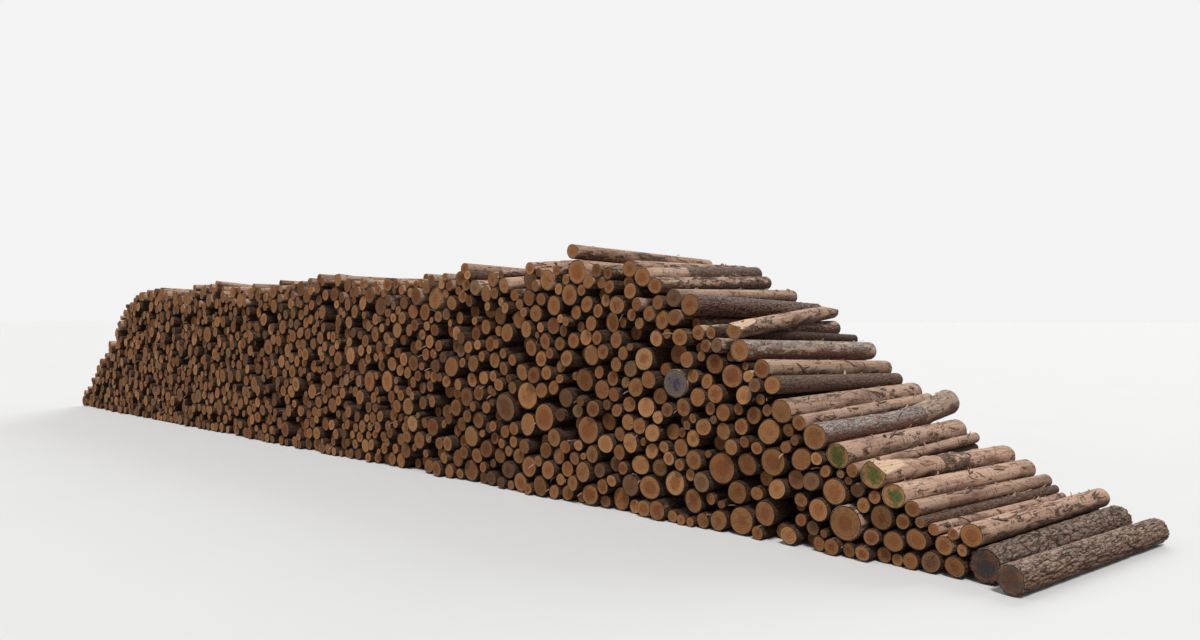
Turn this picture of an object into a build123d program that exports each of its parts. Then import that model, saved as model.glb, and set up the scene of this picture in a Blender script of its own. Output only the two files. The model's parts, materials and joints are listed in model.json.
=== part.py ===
"""Roadside stack of 2 m softwood logs, laid side by side on level ground with both long faces open.

Frame: X runs along the stack, with the low tapering end that is nearest the viewer at +X. Y runs along
the logs, from the sawn ends of the front face at -Y to those of the back face at +Y. Z is up.
The origin is the bottom centre of the whole stack. All lengths are in millimetres.
"""
from build123d import *
from dataclasses import dataclass
import itertools
import math
import os

import numpy as np

# Driving dimensions of the stack
log_length = 2000.0
stack_height = 2070.0
top_length = 11300.0
crest_rise = 70.0
crest_length = 1000.0
crest_place = 0.12
near_slope_run = 2950.0
far_slope_run = 2600.0

# Log diameters at mid length
typical_diameter = 130.0
thinnest_diameter = 70.0
thickest_diameter = 240.0
diameter_spread = 0.25
least_taper = 8.0
most_taper = 26.0

# The hooked log's back end curves up from this share of its length
hook_start = 0.5
# Round sections along an oddly grown log
odd_stations = 17

# How the logs lie
rest_gap = 0.35
end_scatter = 20.0
recessed_share = 0.15
recess_depth = 150.0
yaw_scatter = 0.6
shove = 8.0
roll_travel = 260.0
most_turn = 160.0
fan_yaw = 6.0
fan_run = 2600.0
shuffle = 5

# The stack's length is divided into this many bays, whose logs belong together
bay_count = 17


@dataclass
class NotableLog:
    """A log that stands out: where its axis meets the front face, from the near toe, and its form."""

    x: float
    height: float
    diameter: float
    yaw: float = 0.0
    name: str = ""
    bow: float = 0.0
    hook: float = 0.0
    swell: tuple = ((0.0, 1.0), (1.0, 1.0))
    setback: float = 0.0


# How the girth of the two oddly grown logs changes along them, as (share of the length, factor)
FLARED_GIRTH = ((0, 1.14), (0.125, 1.05), (0.3125, 0.86), (0.5, 1), (0.625, 0.92), (0.75, 1.06), (1, 1.12))
SWEPT_GIRTH = ((0, 1), (0.5, 0.93), (0.75, 0.97), (0.875, 1.05), (1, 1.2))

# The near end's outermost logs on the ground, from the outside inwards, each against the one before
TOE_LOGS = [
    NotableLog(162, 98, 196, 9.0, "outer_bark_log", setback=-140),
    NotableLog(-50, 114, 228, 6.6, "second_bark_log"),
    NotableLog(-240, 74, 148, 5.6),
    NotableLog(-390, 76, 152, 5.0),
    NotableLog(-530, 60, 116, 4.6),
]

# Thick logs inside the stack that show on its front face, each laid once the stack has grown up to it
THICK_LOGS = [
    NotableLog(-520, 220, 158, 5.0),
    NotableLog(-670, 180, 156, 4.5),
    NotableLog(-990, 290, 246, 2.0, "thickest_log"),
    NotableLog(-770, 360, 171, 3.0),
    NotableLog(-1170, 420, 192, 2.0),
    NotableLog(-1350, 730, 181, 1.0),
    NotableLog(-1570, 740, 224, 0.0),
    NotableLog(-1740, 1000, 157, 2.0),
    NotableLog(-1610, 300, 163),
    NotableLog(-1730, 410, 176),
    NotableLog(-2480, 1160, 240, 0.0, "blue_marked_log"),
    NotableLog(-2440, 1420, 149, -2.0),
    NotableLog(-2870, 1290, 200),
    NotableLog(-2060, 540, 250),
    NotableLog(-2070, 200, 203),
    NotableLog(-1790, 200, 194),
    NotableLog(-2260, 310, 209),
    NotableLog(-2610, 220, 216),
    NotableLog(-2520, 460, 166),
    NotableLog(-2800, 280, 192),
    NotableLog(-3050, 620, 190),
    NotableLog(-3220, 750, 254),
    NotableLog(-3430, 1420, 193),
    NotableLog(-3470, 1860, 201),
    NotableLog(-3680, 1880, 190),
    NotableLog(-3750, 920, 266),
    NotableLog(-3990, 980, 271),
    NotableLog(-4250, 960, 281),
    NotableLog(-4510, 140, 189),
    NotableLog(-4320, 210, 205),
    NotableLog(-4750, 460, 193),
    NotableLog(-4860, 690, 171),
    NotableLog(-5710, 1960, 250),
]

# Logs whose sides show on the near slope, from its foot up, laid on the filled stack
SLOPE_LOGS = [
    NotableLog(-110, 285, 151, 6.3, "third_loose_log"),
    NotableLog(-320, 210, 76, 7.0),
    NotableLog(-430, 390, 74, 6.0),
    NotableLog(-550, 360, 110, 6.0),
    NotableLog(-660, 500, 172, 4.0, "low_marked_log"),
    NotableLog(-790, 620, 178, 2.0, "flared_butt_log", swell=FLARED_GIRTH),
    NotableLog(-1030, 680, 94, 3.0),
    NotableLog(-1160, 630, 182, 2.0, "marked_log"),
    NotableLog(-1140, 850, 196, -1.0, "swept_butt_log", bow=-20, hook=105, swell=SWEPT_GIRTH),
    NotableLog(-1260, 950, 111, 2.0),
    NotableLog(-1400, 900, 178, 1.0),
    NotableLog(-1610, 1090, 145, 4.0),
    NotableLog(-1770, 1310, 142, 3.5),
    NotableLog(-1930, 1410, 170, -1.0, "lichen_log"),
    NotableLog(-2060, 1550, 141, -5.0, "split_log"),
    NotableLog(-2310, 1580, 188, -6.0, "scaly_bark_log"),
    NotableLog(-2590, 1740, 148, -4.0),
    NotableLog(-2840, 1760, 140, -3.0),
]

# Logs lying a little askew on the top, laid last
CROWN_LOGS = [
    NotableLog(-2870, 1910, 160, -7.0, "crown_log_1"),
    NotableLog(-3000, 2060, 142, -4.0, "crown_log_2"),
    NotableLog(-3480, 2120, 138, -5.0, "crown_log_3"),
    NotableLog(-4150, 2190, 120, 3.5, "crown_log_4"),
    NotableLog(-5120, 2180, 118, -4.0, "crown_log_5"),
    NotableLog(-7980, 2150, 112, 3.0, "crown_log_6"),
    NotableLog(-11480, 2110, 110, -3.0, "crown_log_7"),
]

# Top of the even filling under the slope logs, as shares of a slope's run and of the stack's height
NEAR_SLOPE = [(0.0, 0.0), (0.1, 0.1), (0.25, 0.17), (0.34, 0.23), (0.48, 0.36), (0.6, 0.48), (0.68, 0.60),
              (0.76, 0.73), (0.92, 0.82), (1.0, 0.89), (1.15, 1.0)]
FAR_SLOPE = [(0.0, 1.0), (0.1, 0.9), (0.92, 0.1), (1.0, 0.0)]
near_toe = 200.0
near_shoulder = near_toe - near_slope_run
far_shoulder = near_shoulder - top_length
crest_x = near_shoulder - crest_place * top_length


def make_outline():
    """Top height of the stack against x."""
    points = [(near_toe - run * near_slope_run, rise * stack_height) for run, rise in NEAR_SLOPE]
    points += [(crest_x + side * crest_length / 2, stack_height + crest_rise) for side in (1, -1)]
    points += [(crest_x - crest_length, stack_height)]
    points += [(far_shoulder - run * far_slope_run, rise * stack_height) for run, rise in FAR_SLOPE]
    points.reverse()
    return np.array(points)


outline = make_outline()
far_toe = outline[0, 0]


def outline_height(x):
    return np.interp(x, outline[:, 0], outline[:, 1])


@dataclass
class Form:
    """A log's own form: the radii of a straight tapering log, how its girth swells along it, how far its
    middle bows aside and its back end hooks up, and how far its ends stand back from the face planes."""

    r_front: float
    r_back: float
    bow: float = 0.0
    hook: float = 0.0
    swell: tuple = ((0.0, 1.0), (1.0, 1.0))
    setback: float = 0.0

    @property
    def first(self):
        """Share of the length between the face planes at which the log starts, always on a slice."""
        return round(self.setback / log_length * slices_along) / slices_along

    @property
    def straight(self):
        return not self.bow and not self.hook and len(self.swell) == 2

    def spans(self, share):
        """Which of the shares lie on the log."""
        return np.abs(share - self.first - 0.5) < 0.5 + 0.1 / slices_along

    def radius(self, share):
        plain = self.r_front + (self.r_back - self.r_front) * share
        return plain * np.interp(share, *zip(*self.swell))

    def aside(self, share):
        return 4 * self.bow * share * (1 - share)

    def slope_aside(self, share):
        return 4 * self.bow * (1 - 2 * share) / log_length

    def lift(self, share):
        return self.hook * np.maximum(0, (share - hook_start) / (1 - hook_start)) ** 2


@dataclass
class Log:
    """A laid log: where its axis meets the front and back face planes."""

    form: Form
    x_front: float
    x_back: float
    z_front: float
    z_back: float
    name: str = ""

    def at(self, share):
        """Axis point (x, z) and radius at a share of the way from the front plane to the back one."""
        x = self.x_front + (self.x_back - self.x_front) * share + self.form.aside(share)
        z = self.z_front + (self.z_back - self.z_front) * share + self.form.lift(share)
        return x, z, self.form.radius(share)


class Slices:
    """Planes across the logs on which they are kept clear of each other."""

    def __init__(self, share, step):
        self.share = share[::step]
        self.step = step
        low = np.nonzero(self.share < 0.495)[0]
        high = np.nonzero(self.share > 0.505)[0]
        self.pair_a = np.repeat(low, len(high))
        self.pair_b = np.tile(high, len(low))
        share_a, share_b = self.share[self.pair_a], self.share[self.pair_b]
        self.weight = (0.5 - share_a) / (share_b - share_a)


# The slices divide the logs' length, and go on past the face planes as far as any log end
slices_along = 160
slices_past = 14
coarse_step = 8
nowhere = -1e5
slice_share = np.arange(-slices_past, slices_along + slices_past + 1) / slices_along
fine = Slices(slice_share, 1)
coarse = Slices(slice_share, coarse_step)


class Stack:
    """The logs laid so far, as arrays of axis places and radii on the slices."""

    most_logs = 4000
    first_step = 32.0
    last_step = 0.5

    def __init__(self):
        self.logs = []
        shape = (self.most_logs, len(slice_share))
        self.x, self.z, self.r = np.zeros(shape), np.zeros(shape), np.zeros(shape)
        self.slope_x, self.slope_z = np.zeros(shape), np.zeros(self.most_logs)
        self.mid_x, self.mid_z, self.mid_r = (np.zeros(self.most_logs) for _ in range(3))

    def lay(self, log):
        n = len(self.logs)
        self.x[n], self.z[n], self.r[n] = log.at(fine.share)
        self.z[n, ~log.form.spans(fine.share)] = nowhere
        self.mid_x[n], self.mid_z[n], self.mid_r[n] = log.at(0.5)
        self.slope_x[n] = (log.x_back - log.x_front) / log_length + log.form.slope_aside(fine.share)
        self.slope_z[n] = (log.z_back - log.z_front) / log_length
        self.logs.append(log)

    def neighbours(self, x, reach):
        """Indices of the logs near x that lie near enough to the surface to be touched."""
        n = len(self.logs)
        found = np.nonzero(np.abs(self.mid_x[:n] - x) < reach + self.mid_r[:n])[0]
        if len(found):
            found = found[self.mid_z[found] > self.mid_z[found].max() - 3.5 * thickest_diameter]
        return found

    def surface(self, x, radius):
        """Rest height of a log's centre dropped at each x, judged at mid length."""
        n = len(self.logs)
        across = x[:, None] - self.mid_x[None, :n]
        reach = radius + self.mid_r[None, :n]
        rise = np.sqrt(np.maximum(reach**2 - across**2, 0))
        height = np.where(rise > 0, self.mid_z[None, :n] + rise, radius)
        return np.maximum(height.max(axis=1), radius)

    def rest(self, form, x_front, x_back, near, slices, slope_z=0.0):
        """Heights at both face planes, and at mid length, of a log lowered onto the stack at each place."""
        share, step = slices.share, slices.step
        x = x_front[:, None] + (x_back - x_front)[:, None] * share + form.aside(share)
        r = form.radius(share)
        slope_x = ((x_back - x_front) / log_length)[:, None, None] + form.slope_aside(share)
        height = np.broadcast_to(r * math.sqrt(1 + slope_z**2), x.shape)
        if len(near):
            across = x[:, None, :] - self.x[near, ::step]
            other = self.r[near, ::step]
            side = np.clip(across / (r + other), -1, 1)
            up = np.sqrt(1 - side**2)
            own_lean = side * slope_x + up * slope_z
            other_lean = side * self.slope_x[near, ::step] + up * self.slope_z[near][:, None]
            reach = r * (1 + own_lean**2 / 2) + other * (1 + other_lean**2 / 2) + rest_gap
            square = reach**2 - across**2
            over = np.where(square > 0, self.z[near, ::step] + np.sqrt(np.maximum(square, 0)), 0)
            height = np.maximum(height, over.max(axis=1))
        height = np.where(form.spans(share), height - form.lift(share), nowhere)
        z_a, z_b = height[:, slices.pair_a], height[:, slices.pair_b]
        bridge = z_a + (z_b - z_a) * slices.weight
        row = np.arange(len(x_front))
        best = bridge.argmax(axis=1)
        share_a, share_b = share[slices.pair_a[best]], share[slices.pair_b[best]]
        slope = (z_b[row, best] - z_a[row, best]) / (share_b - share_a)
        z_front = z_a[row, best] - slope * share_a
        return z_front, z_front + slope, bridge[row, best]

    def settle(self, form, x_front, x_back, near):
        """The log lowered onto the stack with its ends at these places."""
        front, back, slope_z = np.array([x_front]), np.array([x_back]), 0.0
        for _ in range(3):
            z_front, z_back, _ = self.rest(form, front, back, near, fine, slope_z)
            slope_z = (z_back[0] - z_front[0]) / log_length
        return Log(form, x_front, x_back, z_front[0], z_back[0])

    def roll(self, form, x, yaw, travel, push=0.0):
        """Lowers a log with its middle at x and lets both of its ends roll down to a resting place."""
        half = math.tan(math.radians(yaw)) * log_length / 2
        x_front, x_back = x - half, x + half
        widest = form.radius(slice_share).max() + abs(form.bow)
        near = self.neighbours(x, travel + widest + abs(half) + 2 * most_turn)
        lowest = self.rest(form, np.array([x_front]), np.array([x_back]), near, coarse)[2][0]
        moves = np.array([(1, 1), (-1, -1), (1, 0), (-1, 0), (0, 1), (0, -1), (1, -1), (-1, 1)])
        step = self.first_step
        while step > self.last_step:
            fronts, backs = x_front + moves[:, 0] * step, x_back + moves[:, 1] * step
            heights = self.rest(form, fronts, backs, near, coarse)[2]
            astray = np.abs((fronts + backs) / 2 - x) > travel
            astray |= np.abs(backs - fronts - 2 * half) > most_turn
            heights[astray] = math.inf
            k = heights.argmin()
            if heights[k] < lowest - 1e-3 * step:
                lowest, x_front, x_back = heights[k], fronts[k], backs[k]
            else:
                step /= 2
        return self.settle(form, x_front + push, x_back + push, near)


    def clearance(self, places, form, near, slices):
        """How far a straight log is clear of the logs near it, at each (x front, x back, z front, z back).
        Below 0 it runs into one."""
        whole = (slices.share >= 0) & (slices.share <= 1)
        share = slices.share[whole]
        other_x, other_z, other_r, other_slope = (
            values[near, :: slices.step][:, whole] for values in (self.x, self.z, self.r, self.slope_x)
        )
        x_front, x_back, z_front, z_back = places.T[:, :, None]
        across = (x_front + (x_back - x_front) * share)[:, None, :] - other_x
        up = (z_front + (z_back - z_front) * share)[:, None, :] - other_z
        apart = np.hypot(across, up)
        slope_x, slope_z = (x_back - x_front) / log_length, (z_back - z_front) / log_length
        own_lean = (across * slope_x[:, None] + up * slope_z[:, None]) / apart
        other_lean = (across * other_slope + up * self.slope_z[near][:, None]) / apart
        reach = form.radius(share) * (1 + own_lean**2 / 2) + other_r * (1 + other_lean**2 / 2)
        over_ground = np.minimum(z_front, z_back)[:, 0] - form.r_front
        return np.minimum((apart - reach).min(axis=(1, 2)) - rest_gap, over_ground)


rng = np.random.default_rng(shuffle)


def random_form():
    """A plain log with its butt at either end."""
    diameter = typical_diameter * math.exp(diameter_spread * rng.standard_normal())
    diameter = min(max(diameter, thinnest_diameter), thickest_diameter)
    taper = rng.uniform(least_taper, most_taper) * rng.choice([-1, 1])
    setback = min(max(rng.normal(0, end_scatter), -2 * end_scatter), 2 * end_scatter)
    if rng.uniform() < recessed_share:
        setback = rng.uniform(0.3, 1.0) * recess_depth
    return Form((diameter - taper / 2) / 2, (diameter + taper / 2) / 2, setback=setback)


def notable_form(log):
    r = log.diameter / 2
    return Form(r, r - least_taper / 4, log.bow, log.hook, log.swell, log.setback)


def fan(x):
    """How far the logs at the near end turn outwards, in degrees."""
    return fan_yaw * max(0.0, 1 + (x - near_toe) / fan_run)


def lay_against(stack, form, x, yaw, name=""):
    """Lays a log on the ground, with its front near x, against the last one laid if there is one."""
    turn = math.tan(math.radians(yaw)) * log_length
    share = slice_share[form.spans(slice_share)]
    if stack.logs:
        last = stack.logs[-1]
        share = share[last.form.spans(share)]
        last_x, _, last_r = last.at(share)
        last_turn = last.x_back - last.x_front
        lean = (math.hypot(log_length, turn) + math.hypot(log_length, last_turn)) / (2 * log_length)
        corner = abs(turn - last_turn) * abs(turn) * form.r_front / log_length**2
        apart = 2 * np.sqrt(last_r * form.radius(share)) * lean + corner + rest_gap
        x = (last_x - apart - turn * share).min()
    if x - form.r_front < far_toe:
        return False
    stack.lay(Log(form, x, x + turn, form.r_front, form.r_back, name))
    return True


def lay_ground_row(stack):
    """The logs on the ground, side by side from the near toe to the far one."""
    for toe in TOE_LOGS:
        lay_against(stack, notable_form(toe), toe.x, toe.yaw, toe.name)
    going = True
    while going:
        yaw = fan(stack.logs[-1].x_front) + rng.normal(0, yaw_scatter / 2)
        going = lay_against(stack, random_form(), 0, yaw)


# A notable log is laid once it would rest within this share of its diameter under its place,
# and it rolls aside by at most this share of its diameter
early_share = 0.35
roll_share = 0.8


def lay_notable(stack, log, on_top=False):
    """Lays a notable log if the stack has grown up to it."""
    form = notable_form(log)
    x = log.x + math.tan(math.radians(log.yaw)) * log_length / 2
    height = stack.surface(np.array([x]), form.r_front)[0]
    if height < log.height - early_share * log.diameter and not on_top:
        return False
    laid = stack.roll(form, x, log.yaw, roll_share * log.diameter)
    laid.name = log.name
    stack.lay(laid)
    return True


# Gaps in the filled stack are looked for on a grid of this step, and a log pushed into one is this much
# thinner than the gap
gap_grid = 16.0
gap_ease = 6.0


def search(place, steps, moves, score):
    """Moves the place by ever smaller steps while that raises its score."""
    best = score(np.array([place]))[0]
    for step in steps:
        going = True
        while going:
            tried = place + moves * step
            scores = score(tried)
            k = scores.argmax()
            going = scores[k] > best + 1e-6
            if going:
                place, best = tried[k], scores[k]
    return place, best


# Ways in which a log's (x front, x back, z front, z back) are moved, into the middle of a gap and then down
AROUND = np.array(list(itertools.product((-1, 0, 1), repeat=4)))
DOWN = np.array([move for move in AROUND if max(move[2:]) == 0 and min(move[2:]) < 0])


def push_in(stack, x, z):
    """Lays a thin log in the gap between the logs around x and z, if it is wide enough."""
    half = math.tan(math.radians(fan(x))) * log_length / 2
    nearby = np.hypot(stack.mid_x - x, stack.mid_z - z)[: len(stack.logs)]
    near = np.nonzero(nearby < 2 * thickest_diameter)[0]

    def room(places):
        return stack.clearance(places, Form(0, 0), near, coarse)

    place, widest = search(np.array([x - half, x + half, z, z]), (16, 8, 4, 2, 1), AROUND, room)
    radius = min(widest - gap_ease / 2, typical_diameter / 2)
    if radius < thinnest_diameter / 2 or place[2:].mean() + radius > outline_height(place[:2].mean()):
        return
    form = Form(radius, radius - least_taper / 4)

    def depth(slices):
        def score(places):
            clear = stack.clearance(places, form, near, slices) >= 0
            return np.where(clear, -places[:, 2] - places[:, 3], -math.inf)

        return score

    place, _ = search(place, (8, 2), DOWN, depth(coarse))
    place, found = search(place + (0, 0, 0.4, 0.4), (0.5, 0.1), DOWN, depth(fine))
    if not math.isinf(found):
        stack.lay(Log(form, *place))


def fill_gaps(stack):
    """Pushes thin logs into the gaps that run right through the stack."""
    for x in np.arange(far_toe, near_toe, gap_grid):
        half = math.tan(math.radians(fan(x))) * log_length / 2
        near = np.nonzero(np.abs(stack.mid_x[: len(stack.logs)] - x) < 2 * thickest_diameter)[0]
        heights = np.arange(thinnest_diameter, outline_height(x) - thinnest_diameter, gap_grid)
        if not len(heights):
            continue
        ones = np.ones(len(heights))
        places = np.column_stack([(x - half) * ones, (x + half) * ones, heights, heights])
        room = stack.clearance(places, Form(0, 0), near, coarse)
        for k in np.nonzero(room > thinnest_diameter / 2 - gap_grid / 2)[0]:
            push_in(stack, x, heights[k])


# Places tried for each log, failures in a row that end the filling, and how far up, in radii, a log's
# centre may come under the outline before and after it has rolled
tries = 40
most_misses = 150
room_before = 0.85
room_after = 0.65


def lay_stack():
    """Lays logs at the lowest open place until the outline is full, then the few on top."""
    stack = Stack()
    lay_ground_row(stack)
    waiting = sorted(THICK_LOGS, key=lambda log: log.height)
    misses = 0
    while misses < most_misses:
        ready = next((log for log in waiting if lay_notable(stack, log)), None)
        if ready:
            waiting.remove(ready)
            continue
        form = random_form()
        r = form.radius(0.5)
        places = rng.uniform(far_toe, near_toe, tries)
        heights = stack.surface(places, r)
        heights[heights + room_before * r > outline_height(places)] = math.inf
        k = heights.argmin()
        misses += 1
        if math.isinf(heights[k]):
            continue
        yaw = fan(places[k]) + rng.normal(0, yaw_scatter)
        log = stack.roll(form, places[k], yaw, roll_travel, rng.uniform(-shove, shove))
        x, z, r = log.at(0.5)
        if z + room_after * r < outline_height(x):
            stack.lay(log)
            misses = 0
    for log in SLOPE_LOGS + CROWN_LOGS:
        lay_notable(stack, log, on_top=True)
    fill_gaps(stack)
    return stack.logs


@dataclass
class Facet:
    """A slab hewn off a log's end: how deep it is there, how far it runs, and which way it faces."""

    at_back: bool
    run: float
    depth: float
    facing: float


# The facing is in degrees from +X towards +Z
FACETS = {
    "flared_butt_log": [Facet(False, 250, 30, 52)],
    "split_log": [Facet(False, 320, 34, 66), Facet(True, 420, 38, 78)],
}


def cut_facet(solid, log, facet):
    """The log without the slab, whose inner face runs out to the log's surface."""
    end = log.form.first + (1 if facet.at_back else 0)
    inwards = -1 if facet.at_back else 1
    x, z, r = log.at(end)
    facing = Vector(math.cos(math.radians(facet.facing)), 0, math.sin(math.radians(facet.facing)))
    along = Vector(0, inwards * facet.run, 0) + facing * facet.depth
    across = along.cross(facing)
    start = Vector(x, (end - 0.5) * log_length, z) + facing * float(r - facet.depth)
    face = Plane(origin=start, x_dir=along, z_dir=across.cross(along) * across.cross(along).dot(facing))
    slab = face * Box(2 * facet.run, 3 * r, r, align=(Align.CENTER, Align.CENTER, Align.MIN))
    return (solid - slab).solid()


def log_solid(log):
    """The log as one round solid."""

    def section(share):
        x, z, r = log.at(share)
        return Vector(x, (share - 0.5) * log_length, z), float(r)

    form = log.form
    if form.straight:
        (start, r_start), (end, r_end) = section(form.first), section(form.first + 1)
        axis = end - start
        solid = Solid.make_cone(r_start, r_end, axis.length, Plane(origin=start, z_dir=axis))
    else:
        wires = []
        for share in np.linspace(form.first, form.first + 1, odd_stations):
            centre, radius = section(share)
            axis = section(share + 0.01)[0] - section(share - 0.01)[0]
            wires.append(Wire.make_circle(radius, Plane(origin=centre, x_dir=(1, 0, 0), z_dir=axis)))
        solid = Solid.make_loft(wires, ruled=True)
    for facet in FACETS.get(log.name, []):
        solid = cut_facet(solid, log, facet)
    return solid


def node_of(log):
    """The named log's own node, or the bay of the stack that the log is in."""
    share = (near_toe - log.at(0.5)[0]) / (near_toe - far_toe)
    bay = 1 + min(max(int(share * bay_count), 0), bay_count - 1)
    return log.name or f"logs_bay_{bay:02d}"


def build():
    """The solids of each node, with the origin at the bottom centre of them all."""
    nodes = {}
    for log in lay_stack():
        nodes.setdefault(node_of(log), []).append(log_solid(log))
    boxes = [solid.bounding_box() for solids in nodes.values() for solid in solids]
    low = np.min([tuple(box.min) for box in boxes], axis=0)
    high = np.max([tuple(box.max) for box in boxes], axis=0)
    middle = (low + high) / 2
    to_origin = Location((-middle[0], -middle[1], -low[2]))
    return {node: [solid.moved(to_origin) for solid in solids] for node, solids in nodes.items()}


os.makedirs("parts", exist_ok=True)
for node, solids in build().items():
    shape = solids[0] if len(solids) == 1 else Compound(children=solids)
    export_step(shape, f"parts/{node}.step")
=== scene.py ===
import json
import math

import bpy
import numpy as np
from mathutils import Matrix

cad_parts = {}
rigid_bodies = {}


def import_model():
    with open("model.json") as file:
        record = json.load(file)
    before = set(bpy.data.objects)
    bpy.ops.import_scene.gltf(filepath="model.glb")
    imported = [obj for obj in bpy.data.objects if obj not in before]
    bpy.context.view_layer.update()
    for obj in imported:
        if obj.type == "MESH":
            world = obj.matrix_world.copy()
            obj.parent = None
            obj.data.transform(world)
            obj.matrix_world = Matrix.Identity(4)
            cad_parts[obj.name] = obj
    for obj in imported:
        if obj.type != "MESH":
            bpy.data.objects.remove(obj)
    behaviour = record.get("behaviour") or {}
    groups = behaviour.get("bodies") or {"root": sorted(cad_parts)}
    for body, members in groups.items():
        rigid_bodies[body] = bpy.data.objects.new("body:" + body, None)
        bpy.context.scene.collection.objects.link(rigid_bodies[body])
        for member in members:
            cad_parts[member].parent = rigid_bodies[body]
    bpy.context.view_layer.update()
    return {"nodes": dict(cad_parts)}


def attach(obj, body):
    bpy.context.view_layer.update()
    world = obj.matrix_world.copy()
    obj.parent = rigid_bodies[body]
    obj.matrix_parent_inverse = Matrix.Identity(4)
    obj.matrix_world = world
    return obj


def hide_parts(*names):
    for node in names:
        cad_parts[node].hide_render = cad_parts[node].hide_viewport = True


for startup_object in list(bpy.data.objects):
    bpy.data.objects.remove(startup_object)

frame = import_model()

# Lengths are in metres and angles in radians, unless a comment says otherwise
CAMERA_PLACE = (10.003, -6.54, 1.6)
CAMERA_TURN = math.radians(43.5)
LENS = 27.0
SENSOR = 36.0
VIEW_END = 2000

TURN = 2 * math.pi
LEVEL = math.radians(90)
UP = (0.0, 0.0, 1.0)


def unit(vectors):
    """The vectors at length 1."""
    return vectors / np.linalg.norm(vectors, axis=-1, keepdims=True)


# Reading the logs' centre lines and radii from the CAD solids

POINTS_PER_METRE = 1e5     # points that round to the same place are one
STATION_REACH = 0.02       # how far from its station a section's points may lie
FIT_TRIES = 8
FIT_ERROR = 0.001
OUTLIER = 2.5              # times the median error
SECTION_GAP = 0.03
SECTION_POINTS = 20        # fewer than this is no section

# How many round sections the hewn logs have
HEWN_STATIONS = {"flared_butt_log": 17, "split_log": 2}


def welded(mesh):
    """The mesh's separate points and its triangles as indices into them."""
    points = np.empty(len(mesh.vertices) * 3, np.float32)
    mesh.vertices.foreach_get("co", points)
    points = points.reshape(-1, 3).astype(float)
    corners = np.empty(len(mesh.loops), np.int32)
    mesh.loops.foreach_get("vertex_index", corners)
    keys = np.round(points * POINTS_PER_METRE).astype(np.int64)
    _, first, index = np.unique(keys, axis=0, return_index=True, return_inverse=True)
    return points[first], index.reshape(-1)[corners].reshape(-1, 3)


def islands(mesh):
    """The points of each separate solid in the mesh."""
    points, triangles = welded(mesh)
    label = np.arange(len(points))
    ends_a = triangles.ravel()
    ends_b = np.roll(triangles, 1, axis=1).ravel()
    while True:
        low = np.minimum(label[ends_a], label[ends_b])
        joined = label.copy()
        np.minimum.at(joined, ends_a, low)
        np.minimum.at(joined, ends_b, low)
        joined = joined[joined]
        if np.array_equal(joined, label):
            break
        label = joined
    order = np.argsort(label, kind="stable")
    cuts = np.flatnonzero(np.diff(label[order])) + 1
    return [points[part] for part in np.split(order, cuts)]


def fit_ring(ring):
    """The centre, radius and axis direction of one round section."""
    x, y, z = ring.T
    ones = np.ones(len(ring))
    circle = np.linalg.lstsq(np.column_stack([2 * x, 2 * z, ones]), x * x + z * z, rcond=None)[0]
    plane = np.linalg.lstsq(np.column_stack([x, z, ones]), y, rcond=None)[0]
    centre_x, centre_z = circle[0], circle[1]
    radius = math.sqrt(circle[2] + centre_x ** 2 + centre_z ** 2)
    centre = (centre_x, plane[0] * centre_x + plane[1] * centre_z + plane[2], centre_z)
    return np.array(centre), radius, unit(np.array([-plane[0], 1.0, -plane[1]]))


def fit_cut_ring(points, y):
    """The round section at y of a log whose surface has other edges near it."""
    ring = points[np.abs(points[:, 1] - y) < STATION_REACH]
    for _ in range(FIT_TRIES):
        centre, radius, axis = fit_ring(ring)
        off_plane = np.abs((ring - centre) @ axis)
        off_round = np.abs(np.linalg.norm(ring - centre, axis=1) - radius)
        error = off_plane + off_round
        keep = error <= max(FIT_ERROR, OUTLIER * np.median(error))
        if keep.all():
            break
        ring = ring[keep]
    return centre, radius, axis


def read_log(node_name, points):
    """The log's round sections from front to back: centres, radii and axes."""
    points = points[np.argsort(points[:, 1])]
    if node_name in HEWN_STATIONS:
        stations = np.linspace(points[0, 1], points[-1, 1], HEWN_STATIONS[node_name])
        rings = [fit_cut_ring(points, y) for y in stations]
    else:
        cuts = np.flatnonzero(np.diff(points[:, 1]) > SECTION_GAP) + 1
        rings = [fit_ring(ring) for ring in np.split(points, cuts) if len(ring) >= SECTION_POINTS]
    centres, radii, axes = (np.array(part) for part in zip(*rings))
    return {"node": node_name, "centres": centres, "radii": radii, "axes": axes}


# Building a log's skin

# Smooth reliefs: number of waves, waves round the log from and to, wavelength along it from and to
LOBE_WAVES = (4, (2, 4), (1.6, 5.0))
ROUGH_WAVES = (7, (3, 9), (0.12, 0.5))
CREST_WAVES = (9, (9, 20), (0.07, 0.35))
WANDER_WAVES = (6, (2, 7), (0.1, 0.4))

CREST = 0.3                # height of the bark's crests, as a share of its cracks' depth
WANDER_AROUND = 0.35       # how far cracks wander, in plates
WANDER_ALONG = 0.6         # as a share of the wander around
CRACK_WIDTH = 0.28         # in plates
FACET_REACH = 1.5          # how far a hewn face may cut, in times its length
EDGE = 0.004               # width of the broken edge round a sawn end, and at most this share of the radius:
EDGE_SHARE = 0.04
EDGE_DROP = 0.8            # its depth, as a share of its width
END_TILT = 0.06            # how far a sawn end may tilt, as a share of the radius
SAW_MARKS = (-0.0004, 0.0008)
END_RINGS = (0.9, 0.5)     # rings of points on a sawn end, as shares of the radius
DIMPLE_FADE = 0.06
FACE_PARTS = ("sides", "quads", "fans")


def dent(wave):
    """A wave from -1 to 1 as a dent from 0 to 1."""
    return 0.5 - 0.5 * wave


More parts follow.
